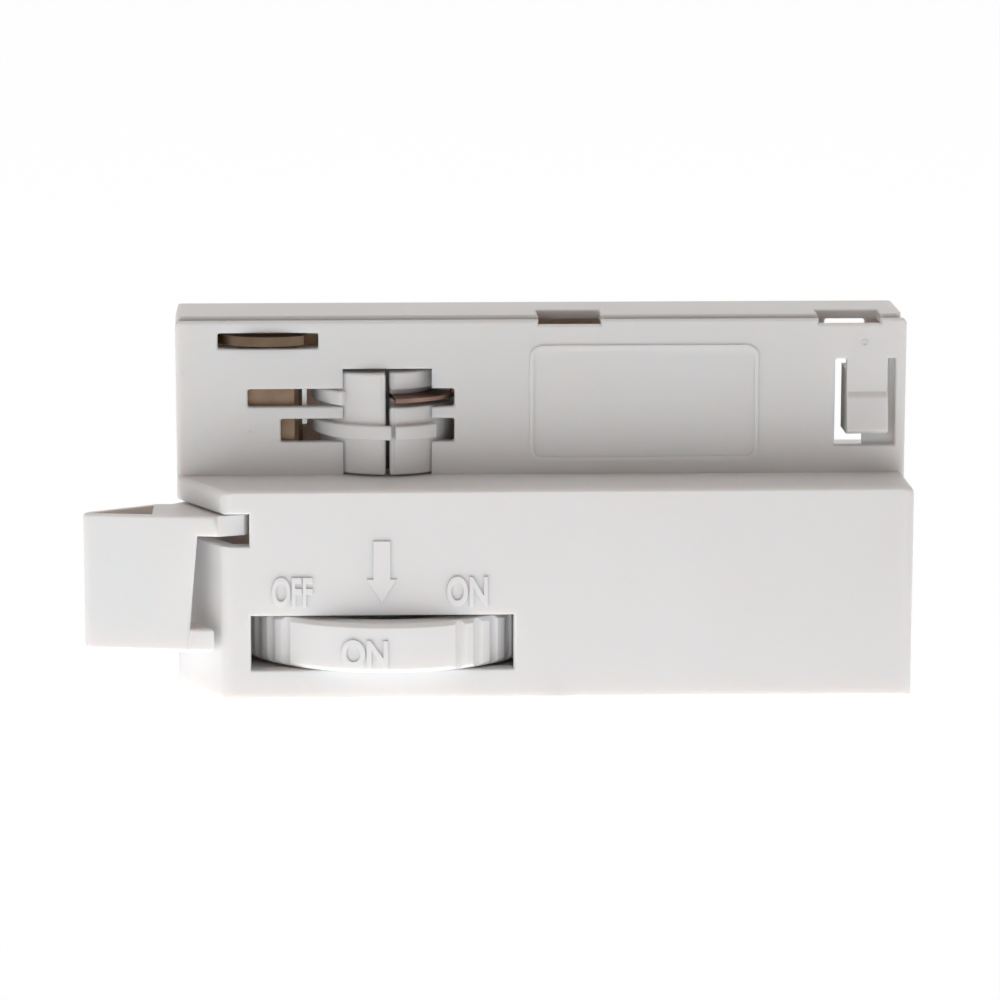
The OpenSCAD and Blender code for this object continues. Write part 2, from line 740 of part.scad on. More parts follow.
module lock_lever() {
    slot_corner = [lever_slot_x - 0.7, 1.3 - half_w];
    color(white) difference() {
        union() {
            lever_grip();
            translate([0, 0, arm_z]) linear_extrude(arm_t) polygon([lever_apex_tip, grip_front,
                lever_front, slot_corner, [lock_x + boss_r, 0], [lock_x, boss_r], lever_apex]);
            translate([lock_x, 0, boss_z]) cylinder(r = boss_r, h = boss_top - boss_z);
        }
        square_hole = lock_square + seat_gap;
        translate([lock_x, 0, (boss_z + boss_top) / 2])
            cube([square_hole, square_hole, boss_top], center = true);
    }
}

// Round brass shaft with a square at each end and a groove for the circlip
module lock_shaft() {
    groove_r = lock_square / 2 - 0.35;
    tail = 0.6;
    color(brass) translate([lock_x, 0, 0]) {
        translate([0, 0, clip_z - tail]) cylinder(r = lock_square / 2, h = tail);
        translate([0, 0, clip_z]) cylinder(r = groove_r, h = boss_z - clip_z);
        translate([-lock_square / 2, -lock_square / 2, boss_z])
            cube([lock_square, lock_square, boss_top - boss_z]);
        translate([0, 0, boss_top]) cylinder(r = lock_r, h = tab_z - boss_top);
        translate([-lock_square / 2, -lock_square / 2, tab_z])
            cube([lock_square, lock_square, tab_t + seat_gap]);
    }
}

// Open ring in the shaft's groove, under the lever's boss
module lock_circlip() {
    inner_r = lock_square / 2 - 0.35 + seat_gap / 2;
    color(steel) translate([lock_x, 0, clip_z]) rotate([0, 0, 30])
        rotate_extrude(angle = 300) translate([inner_r, 0]) square([1.5, clip_t]);
}

// Two-lobed brass plate that turns out of the insert over the track's edge
module lock_tab() {
    square_hole = lock_square + seat_gap;
    color(brass) difference() {
        translate([lock_x, 0, tab_z]) {
            cylinder(r = lock_r + 1.6, h = tab_t);
            for (side = [-90, 90]) rotate([0, 0, side - tab_lead])
                rotate_extrude(angle = tab_lobe_angle) square([tab_r, tab_t]);
        }
        translate([lock_x, 0, tab_z]) cube([square_hole, square_hole, 4 * tab_t], center = true);
    }
}

module terminal_block() {
    channel_w = clamp_w + 2 * seat_gap;
    color(white) difference() {
        block([block_x, -block_half, block_z], [block_x + block_l, block_half, ceiling_z]);
        for (way = [-1 : 1]) {
            y = way * terminal_pitch;
            block([block_x - over, y - channel_w / 2, clamp_z - seat_gap],
                [block_x + block_l + over, y + channel_w / 2, clamp_z + clamp_h + seat_gap]);
            translate([block_x + block_l / 2, y, block_z - over])
                cylinder(r = terminal_head_r + seat_gap, h = clamp_z - block_z + over);
        }
    }
}

// Brass cages in the block, one for each leaf
module terminal_clamps() {
    color(brass) for (way = [-1 : 1]) translate([clamp_x, way * terminal_pitch, clamp_z]) difference() {
        block([0, -clamp_w / 2, 0], [clamp_l, clamp_w / 2, clamp_h]);
        block([-over, clamp_wall - clamp_w / 2, clamp_wall],
            [clamp_l + over, clamp_w / 2 - clamp_wall, clamp_h - clamp_wall]);
        translate([clamp_l / 2, 0, -over]) cylinder(r = terminal_r + seat_gap / 2, h = clamp_wall + 2 * over);
    }
}

module terminal_screws() {
    head_t = 1.6;
    slot_w = 0.6;
    color(steel) for (way = [-1 : 1])
        translate([block_x + block_l / 2, way * terminal_pitch, clamp_z - head_t]) difference() {
            union() {
                cylinder(r = terminal_head_r, h = head_t);
                cylinder(r = terminal_r, h = head_t + clamp_h / 2);
            }
            block([-terminal_head_r - over, -slot_w / 2, -over],
                [terminal_head_r + over, slot_w / 2, head_t / 2]);
        }
}

// Hexagon nut with a spigot that fills the hole in the base cover
module stem_nut() {
    color(steel) difference() {
        union() {
            cylinder(r = stem_spigot_r, h = base_t + seat_gap);
            translate([0, 0, base_t]) cylinder(r = nut_af / sqrt(3), h = nut_h, $fn = 6);
        }
        translate([0, 0, -over]) cylinder(r = stem_r, h = base_t + nut_h + 2 * over);
    }
}

housing();
base_cover();
cover_screws();
top_cover();
contact_holder();
thumb_wheel();
rotor_spindle();
rotor_right_half();
rotor_left_half();
phase_contact();
neutral_contact();
phase_leaf();
neutral_leaf();
earth_leaf();
lock_lever();
lock_shaft();
lock_circlip();
lock_tab();
terminal_block();
terminal_clamps();
terminal_screws();
stem_nut();
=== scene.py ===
import math

import bmesh
import bpy
from bpy.props import FloatProperty, FloatVectorProperty, PointerProperty
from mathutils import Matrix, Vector


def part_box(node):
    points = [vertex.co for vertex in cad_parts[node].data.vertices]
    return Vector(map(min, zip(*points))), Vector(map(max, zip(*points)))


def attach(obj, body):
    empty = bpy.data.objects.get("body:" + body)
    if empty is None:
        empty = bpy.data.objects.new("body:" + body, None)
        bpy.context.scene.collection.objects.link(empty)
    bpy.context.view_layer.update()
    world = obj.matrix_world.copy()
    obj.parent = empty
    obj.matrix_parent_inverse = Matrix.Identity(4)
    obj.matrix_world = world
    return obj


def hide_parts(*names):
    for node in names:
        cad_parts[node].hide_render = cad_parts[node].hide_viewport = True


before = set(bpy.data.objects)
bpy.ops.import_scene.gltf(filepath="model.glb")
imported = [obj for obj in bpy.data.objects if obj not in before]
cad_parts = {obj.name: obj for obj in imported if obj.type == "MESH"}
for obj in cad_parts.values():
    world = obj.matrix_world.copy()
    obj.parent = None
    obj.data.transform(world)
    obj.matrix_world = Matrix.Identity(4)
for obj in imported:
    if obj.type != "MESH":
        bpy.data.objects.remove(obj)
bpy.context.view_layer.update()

bl_info = {
    "name": "Track Light Adapter",
    "version": (1, 0, 0),
    "blender": (4, 5, 0),
    "location": "View3D > Sidebar > Adapter",
    "description": "Dresses a track light adapter's CAD model: soft edges, legends and finishes",
    "category": "Object",
}

MM = 0.001
HOUSING_LOW, HOUSING_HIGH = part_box("housing")
WHEEL_LOW, WHEEL_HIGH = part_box("thumb_wheel")
WHEEL_RADIUS = (WHEEL_HIGH.x - WHEEL_LOW.x) / 2
BLADE_LOW, BLADE_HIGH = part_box("phase_contact")
LEVER_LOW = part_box("lock_lever")[0]
# The middle of the pocket in the lever's top
LEVER_POCKET = Vector((-73, -13.3, 15)) * MM
ROTOR_X = -40 * MM
# Radius of the bore that the lamp stem's thread is cut into
STEM_BORE = 4.5 * MM
INSERT_FRONT = -7 * MM
# Top of the box, where the insert stands on it
LEDGE_Z = 26.9 * MM
# Points nearer than this to a face count as on it
NEAR = 0.02 * MM
# Edges shorter than this are left sharp, because a rounding has no room there
SHORT_EDGE = 0.3 * MM
# How deep raised marks reach into the wall behind them
SUNK = 0.1 * MM
# Bends sharper than this are creases between CAD faces, and between a bevel and its neighbours
CREASE = math.radians(25)
BEVEL_CREASE = math.radians(50)
# Material indices that tell the CAD's faces from the bevels while a piece is made
CAD_FACE, BEVEL_FACE = 0, 1
# The photograph's side in pixels, and the width that stands for it on the camera's sensor in mm
PHOTO_SIDE = 1000
SENSOR_MM = 36


def linear(hex_colour):
    """Linear RGB of an sRGB hex colour."""
    parts = [int(hex_colour[i:i + 2], 16) / 255 for i in (1, 3, 5)]
    return [c / 12.92 if c <= 0.04045 else ((c + 0.055) / 1.055) ** 2.4 for c in parts]


def size(name, description, millimetres):
    """A length property with its default in millimetres."""
    return FloatProperty(name=name, description=description, default=millimetres * MM,
                         min=0, precision=5, unit="LENGTH", subtype="DISTANCE")


def colour(name, description, hex_colour):
    """A colour property with its default as an sRGB hex colour."""
    return FloatVectorProperty(name=name, description=description, default=linear(hex_colour),
                               min=0, max=1, size=3, subtype="COLOR")


class AdapterSizes(bpy.types.PropertyGroup):
    """Roundings and raised legends that the mould gives the white parts."""
    corner: size("Box corner", "Rounding of the box's outer corners and of the ledge's rim", 1.1)
    foot_edge: size("Foot edge", "Rounding of the box's lower rim", 0.2)
    insert_edge: size("Insert edge", "Rounding of the insert's corners and top edges", 0.3)
    wall_end: size("Wall end", "Rounding of the insert's walls at their upper ends", 0.6)
    slot_edge: size("Slot edge", "Rounding round the slots, windows and the base cover", 0.25)
    slot_corner: size("Slot corner", "Rounding of the slots' corners, seen from the front", 0.3)
    frame_edge: size("Frame edge", "Rounding of the label panel's raised frame", 0.2)
    cover_edge: size("Cover edge", "Rounding of the top cover's upper rim", 0.3)
    lever_edge: size("Lever edge", "Rounding of the lever's edges", 0.4)
    lever_foot: size("Lever foot", "Rounding of the lever's lower edges", 0.7)
    pocket_edge: size("Pocket edge", "Rounding round the pocket in the lever's top", 0.08)
    rotor_edge: size("Rotor edge", "Rounding of the drum, its wings and its flange", 0.25)
    split_edge: size("Split edge", "Rounding of the drum's halves where they meet", 0.6)
    notch_edge: size("Notch edge", "Rounding of the drum's cheeks beside the blade", 0.45)
    wheel_edge: size("Wheel edge", "Rounding of the wheel's flutes", 0.1)
    legend_out: size("Legend height", "How far the legends stand out of the front", 0.25)
    gate_mark: size("Gate mark", "Radius of the marks that the mould's gates leave", 0.42)
    thread_pitch: size("Thread pitch", "Pitch of the lamp stem's thread", 1.0)
    thread_depth: size("Thread depth", "Depth of the lamp stem's thread", 0.54)


class AdapterColours(bpy.types.PropertyGroup):
    """Colours of the mouldings and the metal parts."""
    white: colour("White", "White of the mouldings", "#e6e5e5")
    white_flow: colour("Flow white", "White of the faint flow marks in the mouldings", "#e2e0df")
    brass: colour("Brass", "Bright rolled brass", "#97816b")
    brass_dull: colour("Dull brass", "Brass where it has dulled", "#65554a")
    # The lock tab's two colours are darker than the other brass: they paint the shade and the dark
    # reflections of the slot it sits in
    tab: colour("Lock tab", "Brass of the lock tab, browned by use", "#84705c")
    tab_dull_and_shade: colour("Dull lock tab", "Brass of the lock tab where it has dulled most", "#4c3f35")
    copper: colour("Copper", "Bright rolled copper", "#a5877a")
    copper_dull: colour("Dull copper", "Copper where it has dulled", "#6a4f47")
    steel: colour("Steel", "Zinc plated steel", "#b9bbbe")
    steel_dull: colour("Dull steel", "Zinc plating where it has dulled", "#96999c")
    floor: colour("Floor", "Pale studio floor", "#f4f4f4")


def add_node(tree, kind, inputs=(), links=(), **settings):
    """Adds a shader node with its settings, its input values and its links."""
    made = tree.nodes.new(kind)
    for name, value in settings.items():
        setattr(made, name, value)
    for socket, value in dict(inputs).items():
        made.inputs[socket].default_value = value
    for source, socket in links:
        tree.links.new(source, made.inputs[socket])
    return made


def per_metre(millimetres):
    """Scale of a texture on Object coordinates whose marks are that many millimetres apart."""
    return 1 / (millimetres * MM)


def blank_material(name):
    """A material with only its output, and that output's surface socket."""
    made = bpy.data.materials.new(name)
    made.use_nodes = True
    made.node_tree.nodes.clear()
    output = add_node(made.node_tree, "ShaderNodeOutputMaterial")
    return made, made.node_tree, output.inputs["Surface"]


def moulded_abs(name="moulded_white_abs", scatter=0.6):
    """White ABS from a spark-eroded mould: satin, with a faint grain and faint flow marks."""
    if name in bpy.data.materials:
        return bpy.data.materials[name]
    tints = bpy.context.scene.adapter_colours
    made, tree, surface = blank_material(name)
    place = add_node(tree, "ShaderNodeTexCoord").outputs["Object"]
    flow = add_node(tree, "ShaderNodeTexNoise",
                    {"Scale": per_metre(14), "Detail": 3.0, "Roughness": 0.5}, [(place, "Vector")])
    tint = add_node(tree, "ShaderNodeMix", {6: (*tints.white, 1), 7: (*tints.white_flow, 1)},
                    [(flow.outputs["Fac"], 0)], data_type="RGBA")
    # The real grain is about 0.1 mm, less than a pixel, so it is drawn at 0.35 mm
    grain = add_node(tree, "ShaderNodeTexNoise", {"Scale": per_metre(0.35), "Detail": 2.0},
                     [(place, "Vector")])
    bump = add_node(tree, "ShaderNodeBump", {"Strength": 0.12, "Distance": 0.02 * MM},
                    [(grain.outputs["Fac"], "Height")])
    # Patches where the mould was polished more or less
    patches = add_node(tree, "ShaderNodeTexNoise", {"Scale": per_metre(5), "Detail": 2.0},
                       [(place, "Vector")])
    gloss = add_node(tree, "ShaderNodeMapRange", {"To Min": 0.36, "To Max": 0.5},
                     [(patches.outputs["Fac"], "Value")])
    # Light goes a millimetre or two into the plastic, which warms the shadows and the hollows
    shader = add_node(tree, "ShaderNodeBsdfPrincipled",
                      {"IOR": 1.53, "Specular IOR Level": 0.42, "Subsurface Weight": scatter,
                       "Subsurface Radius": (1.0, 0.72, 0.55), "Subsurface Scale": 2 * MM},
                      [(tint.outputs[2], "Base Color"), (gloss.outputs["Result"], "Roughness"),
                       (bump.outputs["Normal"], "Normal")])
    tree.links.new(shader.outputs["BSDF"], surface)
    return made


def legend_abs():
    """The same ABS for thin raised marks, too thin for light to spread in them."""
    return moulded_abs("moulded_white_abs_thin", 0)


def metal(name, bright, dull, roughness, line_mm, along):
    """A metal with rolling or turning lines: stretched noise sets its tint, gloss and bump."""
    if name in bpy.data.materials:
        return bpy.data.materials[name]
    made, tree, surface = blank_material(name)
    place = add_node(tree, "ShaderNodeTexCoord").outputs["Object"]
    stretched = add_node(tree, "ShaderNodeMapping", {"Scale": along}, [(place, "Vector")])
    lines = add_node(tree, "ShaderNodeTexNoise", {"Scale": per_metre(line_mm), "Detail": 4.0},
                     [(stretched.outputs["Vector"], "Vector")])
    dulling = add_node(tree, "ShaderNodeTexNoise", {"Scale": per_metre(3), "Detail": 3.0},
                       [(place, "Vector")])
    tint = add_node(tree, "ShaderNodeMix", {6: (*bright, 1), 7: (*dull, 1)},
                    [(dulling.outputs["Fac"], 0)], data_type="RGBA")
    gloss = add_node(tree, "ShaderNodeMapRange",
                     {"To Min": roughness - 0.08, "To Max": roughness + 0.12},
                     [(lines.outputs["Fac"], "Value")])
    bump = add_node(tree, "ShaderNodeBump", {"Strength": 0.15, "Distance": 0.01 * MM},
                    [(lines.outputs["Fac"], "Height")])
    shader = add_node(tree, "ShaderNodeBsdfPrincipled", {"Metallic": 1.0},
                      [(tint.outputs[2], "Base Color"), (gloss.outputs["Result"], "Roughness"),
                       (bump.outputs["Normal"], "Normal")])
    tree.links.new(shader.outputs["BSDF"], surface)
    return made


def rolled_brass():
    """Brass strip: warm yellow with rolling lines along X that dull it unevenly."""
    tints = bpy.context.scene.adapter_colours
    return metal("rolled_brass", tints.brass, tints.brass_dull, 0.34, 0.3, (0.12, 1, 1))


def browned_brass():
    """Brass strip of the lock tab, darker than the other brass to paint the shade and the dark
    reflections of its slot, and dulled more in patches.
    """
    tints = bpy.context.scene.adapter_colours
    return metal("browned_brass", tints.tab, tints.tab_dull_and_shade, 0.38, 0.25, (0.3, 1, 0.6))


def rolled_copper():
    """Copper strip: red-brown with rolling lines along X."""
    tints = bpy.context.scene.adapter_colours
    return metal("rolled_copper", tints.copper, tints.copper_dull, 0.36, 0.3, (0.12, 1, 1))


def zinc_plated_steel():
    """Zinc plated steel: grey, a little cloudy, with turning lines across Z."""
    tints = bpy.context.scene.adapter_colours
    return metal("zinc_plated_steel", tints.steel, tints.steel_dull, 0.36, 0.3, (1, 1, 0.15))


def deselect():
    """Leaves no object selected."""
    bpy.ops.object.select_all(action="DESELECT")


def activate(piece):
    """Makes a piece the only selected object and the active one."""
    deselect()
    piece.select_set(True)
    bpy.context.view_layer.objects.active = piece


def apply_modifiers(piece):
    """Applies a piece's modifiers in their order."""
    activate(piece)
    for name in [m.name for m in piece.modifiers]:
        bpy.ops.object.modifier_apply(modifier=name)


def finish_piece(piece, body, material):
    """Gives a finished piece its material and its body."""
    piece.data.materials.clear()
    piece.data.materials.append(material)
    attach(piece, body)
    return piece


def node_copy(node, name):
    """A copy of a CAD node with its loose triangles merged to whole flat faces."""
    piece = bpy.data.objects.new(name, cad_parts[node].data.copy())
    bpy.context.scene.collection.objects.link(piece)
    activate(piece)
    bpy.ops.object.mode_set(mode="EDIT")
    bpy.ops.mesh.select_all(action="SELECT")
    bpy.ops.mesh.remove_doubles(threshold=0.002 * MM)
    bpy.ops.mesh.dissolve_limited(angle_limit=math.radians(0.6))
    bpy.ops.object.mode_set(mode="OBJECT")
    return piece


def joined(edge):
    """True where an edge's two faces shade as one: in and beside a bevel, and at slight bends."""
    bevelled = any(face.material_index == BEVEL_FACE for face in edge.link_faces)
    limit = BEVEL_CREASE if bevelled else CREASE
    return len(edge.link_faces) == 2 and edge.calc_face_angle(math.pi) < limit


def neighbours(face, vertex, kind):
    """Faces of a kind that a face meets at a vertex without a crease."""
    edges = [edge for edge in vertex.link_edges if face in edge.link_faces and joined(edge)]
    return {other for edge in edges for other in edge.link_faces
            if other != face and other.material_index == kind}


def fan(starts, vertex, kind):
    """The faces of a kind round a vertex that join the first ones without a crease."""
    found, fresh = set(starts), list(starts)
    while fresh:
        more = neighbours(fresh.pop(), vertex, kind) - found
        found |= more
        fresh += more
    return found


def even_normals(piece):
    """Shades flat faces flat, with each bevel's normals leading from one of them to the other."""
    mesh = bmesh.new()
    mesh.from_mesh(piece.data)
    normals = []
    for face in mesh.faces:
        for vertex in (loop.vert for loop in face.loops):
            kind = face.material_index
            sides = neighbours(face, vertex, CAD_FACE) if kind == BEVEL_FACE else ()
            faces = fan(sides, vertex, CAD_FACE) if sides else fan([face], vertex, kind)
            normals.append(sum((f.normal * f.calc_area() for f in faces), Vector()).normalized())
    mesh.free()
    piece.data.normals_split_custom_set(normals)


def soften(piece, radius_at, segments=3):
    """Bevels a copy's creases, each to the radius that radius_at gives from its middle."""
    activate(piece)
    bpy.ops.object.shade_smooth_by_angle(angle=CREASE)
    bpy.ops.object.mode_set(mode="EDIT")
    mesh = bmesh.from_edit_mesh(piece.data)
    weight = mesh.edges.layers.float.new("bevel_weight_edge")
    radii = {}
    for edge in mesh.edges:
        if len(edge.link_faces) == 2 and edge.calc_face_angle() > CREASE:
            middle = (edge.verts[0].co + edge.verts[1].co) / 2
            radii[edge] = radius_at(middle, edge)
    widest = max(radii.values())
    for edge, radius in radii.items():
        edge[weight] = radius / widest
        edge.smooth = radius > 0
    for face in mesh.faces:
        face.material_index = CAD_FACE
    bmesh.update_edit_mesh(piece.data)
    bpy.ops.object.mode_set(mode="OBJECT")
    while len(piece.data.materials) <= BEVEL_FACE:
        piece.data.materials.append(None)
    bevel = piece.modifiers.new("soft edges", "BEVEL")
    bevel.width = widest
    bevel.segments = segments
    bevel.limit_method = "WEIGHT"
    bevel.use_clamp_overlap = False
    bevel.material = BEVEL_FACE
    apply_modifiers(piece)
    even_normals(piece)
    return piece


class ADAPTER_OT_housing(bpy.types.Operator):
    """Makes the housing's moulding, with rounded corners and soft slot edges"""
    bl_idname = "adapter.housing"
    bl_label = "Housing"

    def execute(self, context):
        sizes = context.scene.adapter_sizes

        def radius_at(middle, edge):
            if not edge.is_convex:
                return sizes.slot_corner if self.is_slot_corner(middle, edge) else 0
            if edge.calc_length() < SHORT_EDGE:
                return 0
            if middle.z > LEDGE_Z + NEAR:
                return self.insert_radius(sizes, middle)
            if not any(self.is_outer(face) for face in edge.link_faces):
                return 0
            if middle.z > LEDGE_Z - NEAR:
                return sizes.corner
            if middle.z < NEAR:
                return sizes.foot_edge
            return sizes.corner if self.is_box_corner(edge) else sizes.slot_edge

        piece = soften(node_copy("housing", "housing_moulding"), radius_at)
        finish_piece(piece, "adapter", moulded_abs())
        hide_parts("housing")
        return {"FINISHED"}

    @staticmethod
    def insert_radius(sizes, middle):
        """Rounding of one of the insert's convex edges, by where its middle is."""
        side = abs(middle.y)
        at_end = min(middle.x - HOUSING_LOW.x, HOUSING_HIGH.x - middle.x) < NEAR
        at_top = middle.z > HOUSING_HIGH.z - NEAR
        at_ledge = middle.z < LEDGE_Z + 0.6 * MM
        if side > -INSERT_FRONT + NEAR:
            return sizes.frame_edge
        if side < -INSERT_FRONT - NEAR:
            return sizes.wall_end if at_end and at_top else 0
        if at_end or at_top:
            return sizes.insert_edge
        return 0 if at_ledge else sizes.slot_edge

    @staticmethod
    def is_slot_corner(middle, edge):
        """True for a slot's corner straight through the insert's wall, with room to round it."""
        room = 1.2 * MM
        ends = [vertex.co for vertex in edge.verts]
        through = abs(ends[0].y - ends[1].y) > 0.95 * edge.calc_length()
        in_wall = middle.z > LEDGE_Z and abs(middle.y) > -INSERT_FRONT - 1 * MM
        beside = [other.calc_length() for vertex in edge.verts for other in vertex.link_edges]
        return through and in_wall and min(beside) > room

    @staticmethod
    def is_outer(face):
        """True for a face on the box's outside, which looks away from the box's middle line."""
        middle = face.calc_center_median()
        inset, reach = 17 * MM, 8 * MM
        along = max(HOUSING_LOW.x + inset, min(middle.x, HOUSING_HIGH.x - inset))
        return face.normal.dot(middle - Vector((along, 0, middle.z))) > reach

    def is_box_corner(self, edge):
        """True for an upright edge between two of the box's outer sides."""
        upright = abs(edge.verts[0].co.z - edge.verts[1].co.z) > 0.5 * MM
        sides = all(abs(f.normal.z) < 0.1 and self.is_outer(f) for f in edge.link_faces)
        return upright and sides


class ADAPTER_OT_covers(bpy.types.Operator):
    """Makes the top cover and the base cover with rounded rims"""
    bl_idname = "adapter.covers"
    bl_label = "Covers"

    def execute(self, context):
        sizes = context.scene.adapter_sizes
        for node, name in (("top_cover", "top_cover_strip"), ("base_cover", "base_cover_plate")):
            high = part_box(node)[1]

            def radius_at(middle, edge):
                if not edge.is_convex or edge.calc_length() < SHORT_EDGE:
                    return 0
                if node == "top_cover":
                    return sizes.cover_edge if middle.z > high.z - NEAR else 0
                return sizes.slot_edge if middle.z < NEAR else 0

            piece = soften(node_copy(node, name), radius_at)
            finish_piece(piece, "adapter", moulded_abs())
            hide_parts(node)
        return {"FINISHED"}


class ADAPTER_OT_switch(bpy.types.Operator):
    """Makes the thumb wheel and the two halves of the rotor's drum with soft edges"""
    bl_idname = "adapter.switch"
    bl_label = "Switch"

    def execute(self, context):
        sizes = context.scene.adapter_sizes

        def wheel_radius(middle, edge):
            return sizes.wheel_edge if edge.is_convex and edge.calc_length() > 0.15 * MM else 0

        def rotor_radius(middle, edge):
            if not edge.is_convex or edge.calc_length() < 0.25 * MM:
                return 0
            upright = abs(edge.verts[0].co.z - edge.verts[1].co.z) > 0.9 * edge.calc_length()
            at_split = abs(middle.x - ROTOR_X) < 0.4 * MM and abs(middle.y) < 8.7 * MM
            if at_split and upright:
                return sizes.split_edge
            by_blade = BLADE_LOW.z - 1 * MM < middle.z < BLADE_HIGH.z + 1 * MM
            on_cheek = at_split and by_blade and abs(middle.y) > 6.2 * MM
            return sizes.notch_edge if on_cheek else sizes.rotor_edge

        for node, name, radius_at in (
                ("thumb_wheel", "thumb_wheel_moulding", wheel_radius),
                ("rotor_right_half", "rotor_right_moulding", rotor_radius),
                ("rotor_left_half", "rotor_left_moulding", rotor_radius)):
            piece = soften(node_copy(node, name), radius_at)
            finish_piece(piece, "switch", moulded_abs())
            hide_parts(node)
        return {"FINISHED"}


class ADAPTER_OT_lever(bpy.types.Operator):
    """Makes the lock lever with soft edges"""
    bl_idname = "adapter.lever"
    bl_label = "Lock lever"

    def execute(self, context):
        sizes = context.scene.adapter_sizes

        def radius_at(middle, edge):
            outside = edge.is_convex and middle.x < HOUSING_LOW.x + 5 * MM
            if not outside or edge.calc_length() < SHORT_EDGE:
                return 0
            if middle.z < LEVER_LOW.z + NEAR:
                return sizes.lever_foot
            in_pocket = any(self.faces_pocket(f) for f in edge.link_faces)
            return sizes.pocket_edge if in_pocket else sizes.lever_edge

        piece = soften(node_copy("lock_lever", "lock_lever_moulding"), radius_at, 4)
        finish_piece(piece, "lock", moulded_abs())
        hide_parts("lock_lever")
        return {"FINISHED"}

    @staticmethod
    def faces_pocket(face):
        """True for an upright face that looks at the middle of the pocket in the lever's top."""
        upright = abs(face.normal.z) < 0.3
        return upright and face.normal.dot(LEVER_POCKET - face.calc_center_median()) > 0


class ADAPTER_OT_legends(bpy.types.Operator):
    """Raises the legends: OFF, ON and the arrow on the front, ON and OFF on the wheel's rim"""
    bl_idname = "adapter.legends"
    bl_label = "Legends"

    def execute(self, context):
        out = context.scene.adapter_sizes.legend_out
        front = HOUSING_LOW.y
        for body, name, low, high in (
                ("OFF", "legend_off", (-54.8, 11.9), (-49.65, 15.8)),
                ("ON", "legend_on", (-32.7, 11.9), (-27.5, 15.8))):
            piece = self.letters(context, body, name, low, high, front, out)
            finish_piece(piece, "adapter", legend_abs())
        finish_piece(self.arrow(context, front, out), "adapter", legend_abs())
        middle = (WHEEL_LOW + WHEEL_HIGH) / 2
        for body, name, degrees in (("ON", "wheel_legend_on", -8.7),
                                    ("OFF", "wheel_legend_off", 81.3)):
            piece = self.letters(context, body, name, (-2.95, 4.7), (2.95, 8.3), -WHEEL_RADIUS, out)
            self.wrap(piece)
            activate(piece)
            piece.rotation_euler = (0, 0, math.radians(degrees))
            piece.location = (middle.x, middle.y, 0)
            bpy.ops.object.transform_apply(location=True, rotation=True, scale=True)
            finish_piece(piece, "switch", legend_abs())
        return {"FINISHED"}

    def letters(self, context, body, name, low, high, front, out):
        """Letters from low to high (X and Z in mm) that stand out of the plane Y = front."""
        deselect()
        bpy.ops.object.text_add()
        piece = context.active_object
        piece.name = name
        piece.data.body = body
        piece.data.resolution_u = 6
        piece.data.size = 1
        piece.data.offset = 0.012
        piece.data.extrude = 0.1
        piece.data.bevel_depth = 0.02
        piece.data.bevel_resolution = 1
        bpy.ops.object.convert(target="MESH")
        piece.rotation_euler = (math.pi / 2, 0, 0)
        bpy.ops.object.transform_apply(location=True, rotation=True, scale=True)
        points = [v.co for v in piece.data.vertices]
        least = Vector([min(p[i] for p in points) for i in range(3)])
        most = Vector([max(p[i] for p in points) for i in range(3)])
        goal_low = Vector((low[0] * MM, front - out, low[1] * MM))
        goal_high = Vector((high[0] * MM, front + SUNK, high[1] * MM))
        piece.scale = [(goal_high[i] - goal_low[i]) / (most[i] - least[i]) for i in range(3)]
        piece.location = [goal_low[i] - least[i] * piece.scale[i] for i in range(3)]
        bpy.ops.object.transform_apply(location=True, rotation=True, scale=True)
        bpy.ops.object.mode_set(mode="EDIT")
        bpy.ops.mesh.select_all(action="SELECT")
        bpy.ops.mesh.remove_doubles(threshold=0.005 * MM)
        bpy.ops.mesh.normals_make_consistent(inside=False)
        bpy.ops.object.mode_set(mode="OBJECT")
        bpy.ops.object.shade_smooth_by_angle(angle=math.radians(35))
        return piece

    def wrap(self, piece):
        """Lays flat letters that face -Y round a cylinder about Z that their own face touches."""
        for vertex in piece.data.vertices:
            reach = -vertex.co.y
            turn = vertex.co.x / WHEEL_RADIUS
            vertex.co.x = reach * math.sin(turn)
            vertex.co.y = -reach * math.cos(turn)

    def arrow(self, context, front, out):
        """The arrow that points down at the wheel."""
        shaft_w, head_w = 2.2 * MM, 3.9 * MM
        middle, top, shoulder, tip = -40.9 * MM, 20.4 * MM, 15.5 * MM, 12.4 * MM
        deselect()
        place = (middle, front + SUNK, (top + shoulder) / 2)
        bpy.ops.mesh.primitive_plane_add(size=1, location=place, rotation=(math.pi / 2, 0, 0))
        piece = context.active_object
        piece.name = "legend_arrow"
        piece.scale = (shaft_w, top - shoulder, 1)
        bpy.ops.object.transform_apply(location=True, rotation=True, scale=True)
        bpy.ops.object.mode_set(mode="EDIT")
        self.select_lowest_edge(piece)
        bpy.ops.mesh.extrude_edges_move()
        bpy.ops.transform.resize(value=(head_w / shaft_w, 1, 1))
        bpy.ops.mesh.extrude_edges_move(TRANSFORM_OT_translate={"value": (0, 0, tip - shoulder)})
        bpy.ops.mesh.merge(type="CENTER")
        bpy.ops.mesh.select_all(action="SELECT")
        bpy.ops.mesh.dissolve_degenerate(threshold=0.001 * MM)
        bpy.ops.mesh.dissolve_limited(angle_limit=math.radians(1))
        bpy.ops.mesh.select_all(action="SELECT")
        bpy.ops.mesh.extrude_region_move(TRANSFORM_OT_translate={"value": (0, -out - SUNK, 0)})
        bpy.ops.mesh.select_all(action="SELECT")
        bpy.ops.mesh.normals_make_consistent(inside=False)
        bpy.ops.object.mode_set(mode="OBJECT")

        def radius_at(at, edge):
            return 0.12 * MM if edge.is_convex and at.y < front - out + NEAR else 0

        return soften(piece, radius_at)

